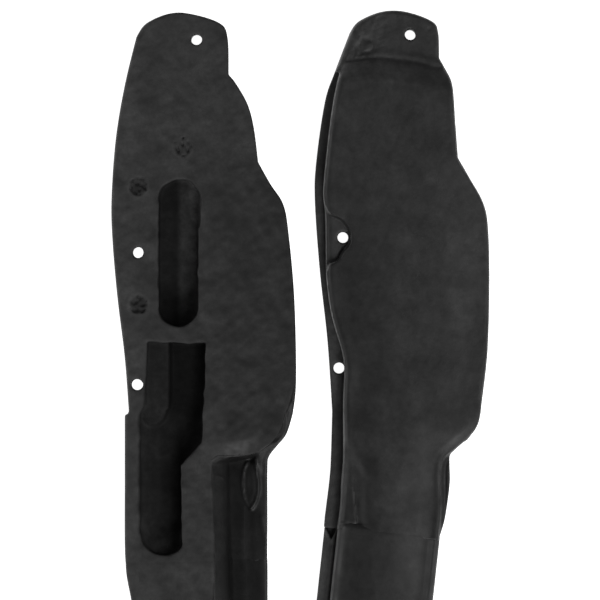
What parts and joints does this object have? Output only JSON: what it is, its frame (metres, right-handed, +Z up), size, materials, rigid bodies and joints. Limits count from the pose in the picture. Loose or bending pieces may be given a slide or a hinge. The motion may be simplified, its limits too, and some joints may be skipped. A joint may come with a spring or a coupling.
{
  "type": "door pillar weatherstrip end pair",
  "caption": "Left and right moulded rubber weatherstrip ends with a flat mounting base, soft raised seal, recesses, fastener holes and a spliced hollow strip.",
  "frame": {"origin": "centre of the pair's box in plan, on the surface the pair lies on", "axes": "+X across the pair from the left seal to the right seal, +Y along the seals towards their tabs, +Z up from the surface they lie on"},
  "size_m": [0.1132, 0.2064, 0.012],
  "materials": {
    "dense_rubber": "matte moulded",
    "insert_steel": "zinc plated",
    "soft_rubber": "satin moulded",
    "extruded_dense_rubber": "matte extruded",
    "extruded_soft_rubber": "satin extruded",
    "plug_rubber": "matte sponge"
  },
  "bodies": {
    "left_end": {"left_mounting_base": "dense_rubber", "left_steel_insert": "insert_steel", "left_sealing_body": "soft_rubber"},
    "left_strip": {"left_strip_base": "extruded_dense_rubber", "left_strip_bulb": "extruded_soft_rubber", "left_splice_plug": "plug_rubber"},
    "right_end": {"right_mounting_base": "dense_rubber", "right_steel_insert": "insert_steel", "right_sealing_body": "soft_rubber"},
    "right_strip": {"right_strip_base": "extruded_dense_rubber", "right_strip_bulb": "extruded_soft_rubber", "right_splice_plug": "plug_rubber"}
  },
  "joints": [
    {"name": "left_strip_flex", "type": "hinge", "parent": "left_end", "child": "left_strip", "pos_m": [-0.03731, -0.06301, 0.01215], "axis": [-0.9997, -0.0262, 0], "range_deg": [0, 28], "stiffness_Nm_per_rad": 0.05},
    {"name": "right_seal_lift", "type": "slide", "parent": "left_end", "child": "right_end", "axis": [0, 0, 1], "range_m": [0, 0.06]},
    {"name": "right_strip_flex", "type": "hinge", "parent": "right_end", "child": "right_strip", "pos_m": [0.02209, -0.05377, 0.01215], "axis": [-0.9942, 0.108, 0], "range_deg": [0, 28], "stiffness_Nm_per_rad": 0.05}
  ]
}
